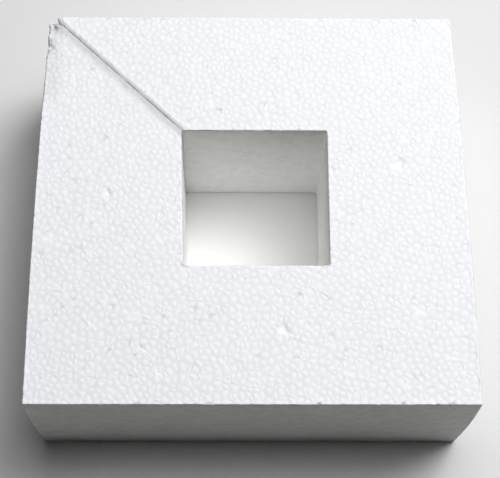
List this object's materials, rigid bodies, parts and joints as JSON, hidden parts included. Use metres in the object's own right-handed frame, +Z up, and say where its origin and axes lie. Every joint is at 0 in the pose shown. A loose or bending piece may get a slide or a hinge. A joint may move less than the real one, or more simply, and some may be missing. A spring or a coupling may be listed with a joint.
{
  "type": "foam block",
  "caption": "Square white foam block with a square hole through its middle and a straight wire-cut slit from the hole to one corner.",
  "frame": {"origin": "middle of the footprint, on the surface that the block stands on", "axes": "+Z up; +X to the right along the block's front side; the front is at -Y, and the slit leaves at the back left corner (-X, +Y)"},
  "size_m": [0.2218, 0.216, 0.08],
  "materials": {
    "foam": "uncoated expanded polystyrene foam, wire-cut, with its beads showing"
  },
  "bodies": {
    "root": {"foam_block": "foam"}
  },
  "joints": []
}
